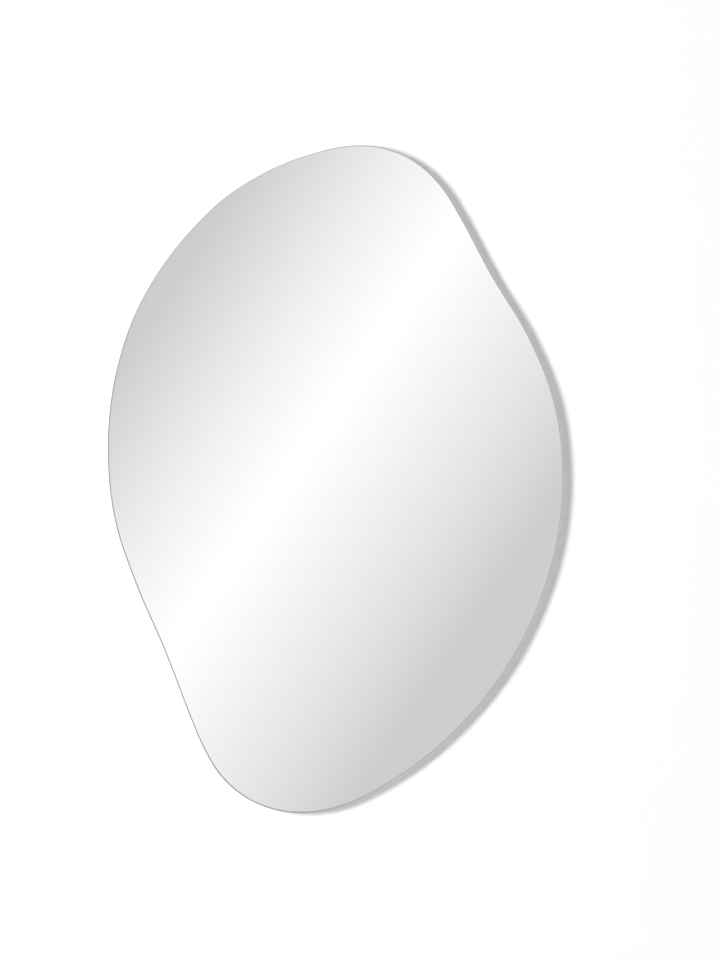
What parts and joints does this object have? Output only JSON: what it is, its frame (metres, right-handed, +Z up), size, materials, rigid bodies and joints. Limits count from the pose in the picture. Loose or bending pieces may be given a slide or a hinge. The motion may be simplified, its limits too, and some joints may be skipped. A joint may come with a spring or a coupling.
{
  "type": "irregular shaped wall mirror",
  "caption": "Frameless pebble-shaped glass wall mirror with a polished edge, hung on eccentric wall hooks by pressed steel plates, with rubber bumpers below.",
  "frame": {"origin": "on the wall's face, behind the middle of the mirror's outline", "axes": "+X to the right as seen from in front, +Y into the wall, +Z up; the mirror faces -Y"},
  "size_m": [0.546, 0.069, 0.8],
  "materials": {
    "glass": "clear float glass, faintly green, with a polished edge",
    "silver": "silvered, with the protective paint on its back",
    "film": "pale grey woven safety film",
    "plate": "bright zinc plated pressed steel",
    "tape": "white foam tape",
    "rubber": "matt black moulded rubber",
    "hook": "natural white nylon, as moulded",
    "screw": "yellow zinc plated steel",
    "plug": "grey nylon, as moulded"
  },
  "bodies": {
    "wall_fixings": {"wall_plug_left": "plug", "wall_plug_right": "plug", "hook_screw_left": "screw", "hook_screw_right": "screw", "hook_washer_left": "screw", "hook_washer_right": "screw"},
    "mirror": {"mirror_glass": "glass", "silver_coating": "silver", "safety_film": "film", "hanger_plate_left": "plate", "hanger_plate_right": "plate", "hanger_tape_left": "tape", "hanger_tape_right": "tape", "spacer_plate_left": "plate", "spacer_plate_right": "plate", "spacer_tape_left": "tape", "spacer_tape_right": "tape", "wall_bumper_left": "rubber", "wall_bumper_right": "rubber"},
    "eccentric_left": {"eccentric_hook_left": "hook"},
    "eccentric_right": {"eccentric_hook_right": "hook"}
  },
  "joints": [
    {"name": "lift_off", "type": "slide", "parent": "wall_fixings", "child": "mirror", "axis": [0, 0, 1], "range_m": [0, 0.007]},
    {"name": "left_eccentric_turn", "type": "hinge", "parent": "wall_fixings", "child": "eccentric_left", "pos_m": [-0.12, 0, 0.19], "axis": [0, -1, 0], "continuous": true},
    {"name": "right_eccentric_turn", "type": "hinge", "parent": "wall_fixings", "child": "eccentric_right", "pos_m": [0.12, 0, 0.19], "axis": [0, -1, 0], "continuous": true}
  ]
}
